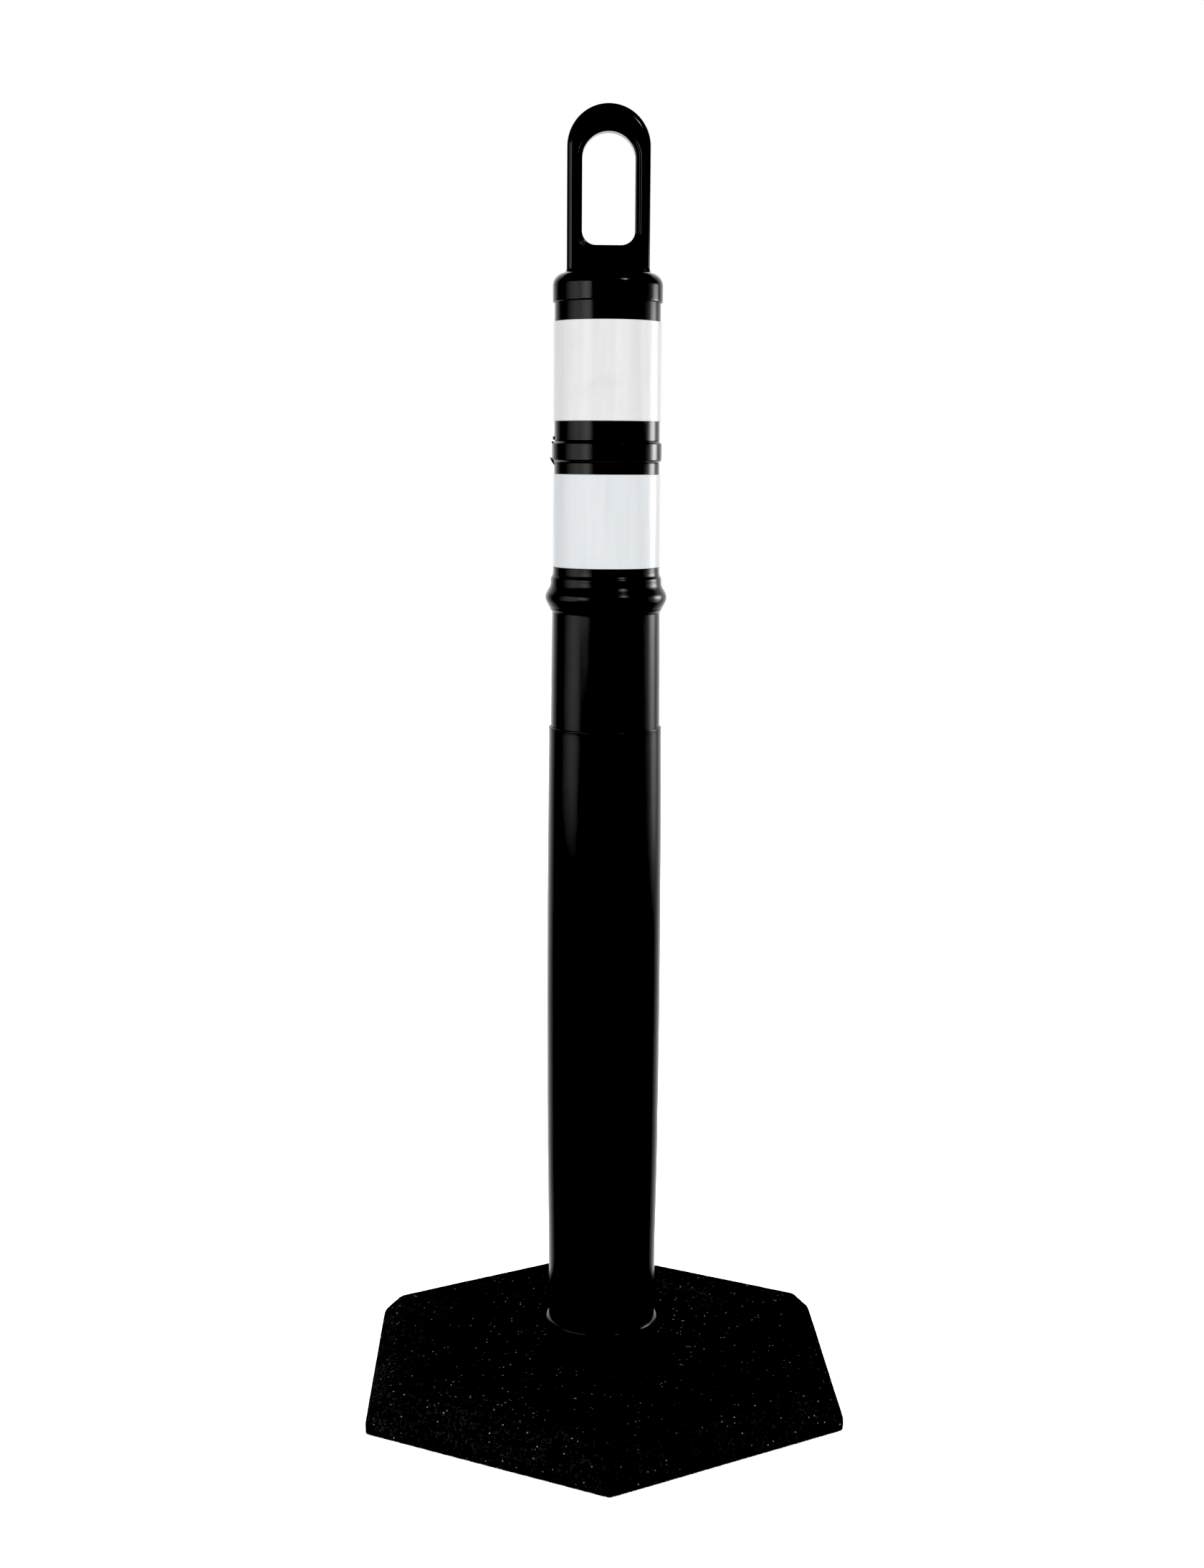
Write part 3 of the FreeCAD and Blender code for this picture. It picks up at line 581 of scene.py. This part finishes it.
def ramp(nt, fac, stops):
    r = nt.nodes.new("ShaderNodeValToRGB")
    el = r.color_ramp.elements
    while len(el) < len(stops):
        el.new(0.5)
    for e, (pos, col) in zip(el, stops):
        e.position = pos
        e.color = (*col, 1) if len(col) == 3 else col
    nt.links.new(fac, r.inputs["Fac"])
    return r.outputs["Color"]


def grey(v):
    return (v, v, v)


def mix(nt, fac, a, b, blend="MIX"):
    m = nt.nodes.new("ShaderNodeMix")
    m.data_type = "RGBA"
    m.blend_type = blend
    for key, val in (("Factor", fac), ("A", a), ("B", b)):
        sock = [s for s in m.inputs if s.name == key and (s.type == "RGBA" or key == "Factor") and s.enabled][0]
        if isinstance(val, (int, float)):
            sock.default_value = val
        elif isinstance(val, tuple):
            sock.default_value = (*val, 1) if len(val) == 3 else val
        else:
            nt.links.new(val, sock)
    return [s for s in m.outputs if s.type == "RGBA" and s.enabled][0]


def math_node(nt, op, a, b=None, c=None):
    m = nt.nodes.new("ShaderNodeMath")
    m.operation = op
    for i, v in enumerate((a, b, c)):
        if v is None:
            continue
        if isinstance(v, (int, float)):
            m.inputs[i].default_value = v
        else:
            nt.links.new(v, m.inputs[i])
    return m.outputs[0]


def bump(nt, height, strength, distance, normal=None):
    b = nt.nodes.new("ShaderNodeBump")
    b.inputs["Strength"].default_value = strength
    b.inputs["Distance"].default_value = distance
    nt.links.new(height, b.inputs["Height"])
    if normal is not None:
        nt.links.new(normal, b.inputs["Normal"])
    return b.outputs["Normal"]


def plastic(name, lo, hi, r_lo, r_hi, scuff):
    """Black moulded polyethylene: faint mottling, vertical die lines and a few soft scuffs."""
    m, nt, bs = material(name)
    v = coords(nt)
    tall = coords(nt, (1, 1, 0.12))
    mottle = noise(nt, v, 46.0, 4.0, 0.55)
    col = ramp(nt, mottle, [(0.25, grey(lo)), (0.75, (hi, hi, hi * 1.04))])
    dust = ramp(nt, noise(nt, v, 17.0, 6.0, 0.68, 0.4), [(0.60, grey(0.0)), (0.82, grey(scuff))])
    nt.links.new(mix(nt, dust, col, grey(0.035)), bs.inputs["Base Color"])
    rr = ramp(nt, noise(nt, tall, 120.0, 3.0, 0.6), [(0.2, grey(r_lo)), (0.8, grey(r_hi))])
    nt.links.new(mix(nt, dust, rr, grey(min(0.6, r_hi + 0.2))), bs.inputs["Roughness"])
    die = noise(nt, coords(nt, (1, 1, 0.02)), 420.0, 2.0, 0.5)
    grain = noise(nt, v, 1500.0, 2.0, 0.5)
    n1 = bump(nt, die, 0.05, 0.0002)
    n2 = bump(nt, grain, 0.05, 0.0001, n1)
    nt.links.new(n2, bs.inputs["Normal"])
    bs.inputs["IOR"].default_value = 1.5
    return m


def rubber():
    """Bonded crumb rubber: near-black granules with a few pale and coloured flecks."""
    m, nt, bs = material("crumb_rubber")
    v = coords(nt)
    vo = nt.nodes.new("ShaderNodeTexVoronoi")
    vo.inputs["Scale"].default_value = 520.0
    nt.links.new(v, vo.inputs["Vector"])
    cell = nt.nodes.new("ShaderNodeSeparateColor")
    nt.links.new(vo.outputs["Color"], cell.inputs["Color"])
    base = ramp(nt, cell.outputs["Red"], [(0.0, grey(0.0020)), (0.6, grey(0.0050)), (1.0, (0.013, 0.013, 0.0145))])
    patch = ramp(nt, noise(nt, v, 22.0, 4.0, 0.6), [(0.3, grey(0.65)), (0.7, grey(1.0))])
    base = mix(nt, 1.0, base, patch, "MULTIPLY")
    # flecks: a second, sparser set of cells; only the rarest values show, and only near their middle
    fl = nt.nodes.new("ShaderNodeTexVoronoi")
    fl.inputs["Scale"].default_value = 620.0
    nt.links.new(v, fl.inputs["Vector"])
    fs = nt.nodes.new("ShaderNodeSeparateColor")
    nt.links.new(fl.outputs["Color"], fs.inputs["Color"])
    rare = math_node(nt, "GREATER_THAN", fs.outputs["Red"], 0.988)
    near = math_node(nt, "LESS_THAN", fl.outputs["Distance"], 0.42)
    mask = math_node(nt, "MULTIPLY", rare, near)
    tint = ramp(nt, fs.outputs["Green"], [(0.0, (0.10, 0.10, 0.09)), (0.45, (0.22, 0.21, 0.18)), (0.72, (0.26, 0.24, 0.15)),
                                         (0.86, (0.14, 0.05, 0.045)), (0.93, (0.05, 0.07, 0.13)), (1.0, (0.06, 0.11, 0.07))])
    nt.links.new(mix(nt, mask, base, tint), bs.inputs["Base Color"])
    ro = ramp(nt, cell.outputs["Green"], [(0.0, grey(0.62)), (1.0, grey(0.90))])
    nt.links.new(ro, bs.inputs["Roughness"])
    h = nt.nodes.new("ShaderNodeTexVoronoi")
    h.inputs["Scale"].default_value = 430.0
    nt.links.new(v, h.inputs["Vector"])
    n1 = bump(nt, h.outputs["Distance"], 0.55, 0.0008)
    n2 = bump(nt, noise(nt, v, 900.0, 3.0, 0.6), 0.35, 0.0004, n1)
    nt.links.new(n2, bs.inputs["Normal"])
    bs.inputs["IOR"].default_value = 1.5
    bs.inputs["Specular IOR Level"].default_value = 0.12
    return m


def sheeting(name, warm):
    """Retroreflective sheeting: a clear face over white, with soft vertical streaks and faint handling smudges."""
    m, nt, bs = material(name)
    streak = noise(nt, coords(nt, (1, 1, 0.05)), 95.0, 3.0, 0.55)
    smudge = noise(nt, coords(nt), 30.0, 5.0, 0.6, 0.6)
    a = (0.86, 0.86, 0.855) if warm else (0.815, 0.845, 0.87)
    b = (0.77, 0.77, 0.77) if warm else (0.725, 0.76, 0.79)
    c = ramp(nt, streak, [(0.28, b), (0.72, a)])
    s = ramp(nt, smudge, [(0.55, grey(0.0)), (0.85, grey(0.30))])
    nt.links.new(mix(nt, s, c, (0.60, 0.60, 0.59)), bs.inputs["Base Color"])
    r = ramp(nt, smudge, [(0.3, grey(0.30)), (0.8, grey(0.46))])
    nt.links.new(r, bs.inputs["Roughness"])
    cells = nt.nodes.new("ShaderNodeTexVoronoi")
    cells.inputs["Scale"].default_value = 380.0
    nt.links.new(coords(nt), cells.inputs["Vector"])
    n1 = bump(nt, cells.outputs["Distance"], 0.05, 0.0001)
    nt.links.new(bump(nt, streak, 0.08, 0.0003, n1), bs.inputs["Normal"])
    bs.inputs["Coat Weight"].default_value = 0.35
    bs.inputs["Coat Roughness"].default_value = 0.12
    return m


def sleeve_vinyl():
    m, nt, bs = material("band_sleeve")
    c = ramp(nt, noise(nt, coords(nt), 60.0, 4.0, 0.6), [(0.3, (0.68, 0.68, 0.67)), (0.7, (0.78, 0.78, 0.77))])
    nt.links.new(c, bs.inputs["Base Color"])
    nt.links.new(ramp(nt, noise(nt, coords(nt), 200.0, 2.0), [(0.3, grey(0.40)), (0.7, grey(0.55))]), bs.inputs["Roughness"])
    nt.links.new(bump(nt, noise(nt, coords(nt), 800.0, 2.0), 0.06, 0.0001), bs.inputs["Normal"])
    return m


def rivet_paint():
    m, nt, bs = material("black_rivet")
    c = ramp(nt, noise(nt, coords(nt), 300.0, 4.0, 0.6), [(0.3, grey(0.006)), (0.68, grey(0.016)), (0.86, grey(0.10))])
    nt.links.new(c, bs.inputs["Base Color"])
    nt.links.new(ramp(nt, noise(nt, coords(nt), 500.0, 3.0), [(0.3, grey(0.28)), (0.7, grey(0.5))]), bs.inputs["Roughness"])
    nt.links.new(bump(nt, noise(nt, coords(nt), 1200.0, 2.0), 0.12, 0.0001), bs.inputs["Normal"])
    bs.inputs["Metallic"].default_value = 0.3
    return m


M = {
    "crumb_rubber": rubber(),
    "gloss_black_plastic": plastic("gloss_black_plastic", 0.0025, 0.006, 0.13, 0.22, 0.18),
    "black_plastic": plastic("black_plastic", 0.003, 0.007, 0.17, 0.28, 0.25),
    "sheet_upper": sheeting("white_reflective_sheet_upper", True),
    "sheet_lower": sheeting("white_reflective_sheet_lower", False),
    "band_sleeve": sleeve_vinyl(),
    "black_rivet": rivet_paint(),
}


def place(ob, body, slot, mat, *nodes):
    ob.data.materials.append(mat)
    if nodes:
        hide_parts(*nodes)
    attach(ob, body)
    return ob


# ------------------------------------------------------------------ the object
base = surface_nets(base_sdf, (-214.0, -246.0, -2.0), (214.0, 246.0, 38.5), 2.02, "base_moulding", 3, crumb)
place(base, "base", "crumb_rubber", M["crumb_rubber"], "rubber_base")

cap = surface_nets(cap_sdf, (-49.5, -49.5, 974.5), (49.5, 49.5, 1145.0), 1.0, "cap_moulding", 4)
place(cap, "post", "gloss_black_plastic", M["gloss_black_plastic"], "handle_cap")

foot = lathe("foot_moulding", foot_profile(), 224, 0.05, 0.0, 2)
place(foot, "post", "gloss_black_plastic", M["gloss_black_plastic"], "foot_socket")

low = lathe("lower_tube_moulding", lower_profile(), 224, 0.09, 0.16, 3, lambda r, z: r > 48.6 and z > 62)
place(low, "post", "black_plastic", M["black_plastic"], "lower_tube")

up = lathe("upper_tube_moulding", upper_profile(), 224, 0.05, 0.14, 5,
           lambda r, z: z > 612 and r > 45.4 and not (710 < z < 736 and r < 50 and z > 716))
place(up, "post", "black_plastic", M["black_plastic"], "upper_tube")

for tag, band, warm, seed in (("upper", UPPER_BAND, True, 21), ("lower", LOWER_BAND, False, 31)):
    sl = lathe(f"{tag}_band_core", sleeve_profile(band), 192, 0.0, 0.0, seed)
    place(sl, "post", "band_sleeve", M["band_sleeve"], f"{tag}_band_sleeve")
    sh = sheet(f"{tag}_band_sheeting", band, seed)
    place(sh, "post", "white_reflective_sheet", M["sheet_" + tag], f"{tag}_reflective_sheet")

flash = surface_nets(flash_sdf, (-51.0, -2.2, 836.0), (-43.5, 2.2, 865.0), 0.22, "parting_flash", 3)
place(flash, "post", "black_plastic", M["black_plastic"])

# the rivets keep their shape; the dome's crown is welded to one clean point
bpy.context.view_layer.update()
for n in ("cap_rivets", "joint_rivets", "foot_rivets"):
    src = frame["nodes"][n]
    bm = bmesh.new()
    bm.from_mesh(src.data)
    bm.transform(src.matrix_world)
    bmesh.ops.remove_doubles(bm, verts=bm.verts, dist=3e-6)
    bmesh.ops.dissolve_degenerate(bm, edges=bm.edges, dist=1e-6)
    me = bpy.data.meshes.new(n + "_set")
    bm.to_mesh(me)
    bm.free()
    me.materials.clear()
    rv = bpy.data.objects.new(n + "_set", me)
    bpy.context.scene.collection.objects.link(rv)
    place(rv, "post", "black_rivet", M["black_rivet"], n)


# ------------------------------------------------------------------ studio
def emission(name, strength, color=(1, 1, 1)):
    m = bpy.data.materials.new(name)
    m.use_nodes = True
    nt = m.node_tree
    nt.nodes.clear()
    out = nt.nodes.new("ShaderNodeOutputMaterial")
    e = nt.nodes.new("ShaderNodeEmission")
    e.inputs["Color"].default_value = (*color, 1)
    e.inputs["Strength"].default_value = strength
    nt.links.new(e.outputs[0], out.inputs["Surface"])
    return m


CAM = Vector((-0.0620, -1.9031, 0.8490))


post_only = bpy.data.collections.new("post_only")
base_only = bpy.data.collections.new("base_only")
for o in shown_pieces():
    (post_only if "post" in (body_of(o) or []) else base_only).objects.link(o)


def card(name, side, a0, a1, dist, z0, z1, levels, rows=((0.0, 1.0), (1.0, 1.0))):
    """A softbox seen only in reflections: an upright curved strip round the post. Angles are from the camera's direction."""
    toward = math.atan2(CAM.y, CAM.x)
    n, m, K = 24, len(levels), len(rows)
    v, quads = [], []
    for i in range(n + 1):
        ph = toward + (-1 if side == "left" else 1) * math.radians(a0 + (a1 - a0) * i / n)
        for j in range(K):
            z = z0 + (z1 - z0) * rows[j][0]
            v.append((1000 * dist * math.cos(ph), 1000 * dist * math.sin(ph), 1000 * z))
    for i in range(n):
        for j in range(K - 1):
            quads.append((K * i + j, K * i + K + j, K * i + K + j + 1, K * i + j + 1))
    ob = to_object(name, v, quads, False)
    me = ob.data
    att = me.color_attributes.new("glow", "FLOAT_COLOR", "POINT")
    for i in range(n + 1):
        t = i / n * (m - 1)
        k = min(int(t), m - 2)
        g = levels[k] + (levels[k + 1] - levels[k]) * (t - k)
        for j in range(K):
            k2 = g * rows[j][1]
            att.data[K * i + j].color = (k2, k2, k2, 1)
    mat = bpy.data.materials.new(name)
    mat.use_nodes = True
    nt = mat.node_tree
    nt.nodes.clear()
    out = nt.nodes.new("ShaderNodeOutputMaterial")
    e = nt.nodes.new("ShaderNodeEmission")
    a = nt.nodes.new("ShaderNodeAttribute")
    a.attribute_name = "glow"
    nt.links.new(a.outputs["Color"], e.inputs["Color"])
    nt.links.new(e.outputs[0], out.inputs["Surface"])
    me.materials.append(mat)
    ob.visible_camera = False
    ob.visible_diffuse = True
    ob.visible_shadow = False
    ob.light_linking.receiver_collection = post_only
    return ob


floor = to_object("floor", [(-6000, -6000, 0), (6000, -6000, 0), (6000, 6000, 0), (-6000, 6000, 0)], [(0, 1, 2, 3)], False)
fm, fnt, fbs = material("pale_floor")
fbs.inputs["Base Color"].default_value = (0.95, 0.95, 0.95, 1)
fbs.inputs["Roughness"].default_value = 0.9
floor.data.materials.append(fm)
floor.location.z = -0.0004
floor.visible_glossy = False
floor.visible_diffuse = False

back = card("card_back_left", "left", 122, 180, 1.7, -0.9, 2.1, [0.0, 0.35, 0.9, 1.2, 1.2])
back2 = card("card_back_right", "right", 122, 180, 1.7, -0.9, 2.1, [0.0, 0.35, 0.9, 1.2, 1.2])
for b in (back, back2):
    b.visible_diffuse = False
card("card_left_a", "left", 33.5, 56, 1.5, 0.64, 1.40, [0.7, 1.5, 1.9, 1.5, 1.1])
card("card_left_b", "left", 56, 100, 1.55, 0.30, 1.45, [0.7, 1.0, 0.8, 0.4, 0.1])
right = card("card_right", "right", 105, 128, 1.2, 0.28, 1.13, [0.6, 2.2, 2.7, 2.2, 0.8],
             ((0.0, 0.3), (0.38, 1.0), (0.6, 3.2), (0.72, 4.6), (0.82, 2.4), (0.93, 1.2), (1.0, 1.0)))
right.visible_diffuse = False
card("card_right_dim", "right", 78, 103, 1.25, 0.28, 1.2, [0.0, 0.08, 0.18, 0.32])

world = bpy.data.worlds.new("studio")
bpy.context.scene.world = world
world.use_nodes = True
bg = world.node_tree.nodes["Background"]
bg.inputs["Color"].default_value = (1, 1, 1, 1)
bg.inputs["Strength"].default_value = 1.0
world.cycles_visibility.glossy = False


def area(name, loc, target, size, power):
    d = bpy.data.lights.new(name, "AREA")
    d.shape = "DISK"
    d.size = size
    d.energy = power
    o = bpy.data.objects.new(name, d)
    o.location = loc
    o.rotation_euler = (Vector(target) - Vector(loc)).to_track_quat("-Z", "Y").to_euler()
    bpy.context.scene.collection.objects.link(o)
    return o


toward = math.atan2(CAM.y, CAM.x) + math.radians(39)
area("front_right_spot", (2.0 * math.cos(toward), 2.0 * math.sin(toward), 2.3), (0, 0, 0.8), 0.25, 4.0)

# low side lights that graze the rubber's bevels
for name, sx, power in (("base_left", -1, 22.0), ("base_right", 1, 13.0)):
    low_light = area(name, (sx * 1.9, -0.15, 0.22), (0, 0, 0.02), 0.5, power)
    low_light.data.shape = "DISK"
    low_light.light_linking.receiver_collection = base_only

key = area("base_key", (-0.35, 0.75, 2.0), (0, 0, 0), 1.2, 16.0)
key.light_linking.receiver_collection = base_only

# a light on the floor alone, so that it stays an even white
over = area("floor_wash", (0, 0, 4.0), (0, 0, 0), 8.0, 700.0)
only = bpy.data.collections.new("floor_only")
only.objects.link(floor)
over.light_linking.receiver_collection = only

sc = bpy.context.scene
sc.view_settings.view_transform = "Standard"
sc.view_settings.look = "None"
# the deepest shadows close up, as in a high-contrast product picture
sc.view_settings.use_curve_mapping = True
sc.view_settings.curve_mapping.black_level = (0.012, 0.012, 0.012)
sc.view_settings.curve_mapping.update()

cam = bpy.data.cameras.new("camera")
cam.lens = 49.503
cam.sensor_width = 36.0
cam.sensor_fit = "AUTO"
co = bpy.data.objects.new("camera", cam)
co.matrix_world = (Matrix.Translation(CAM) @ Matrix.Rotation(math.radians(-1.791), 4, "Z")
                   @ Matrix.Rotation(math.radians(81.2673), 4, "X") @ Matrix.Rotation(math.radians(0.359), 4, "Z"))
sc.collection.objects.link(co)
sc.camera = co
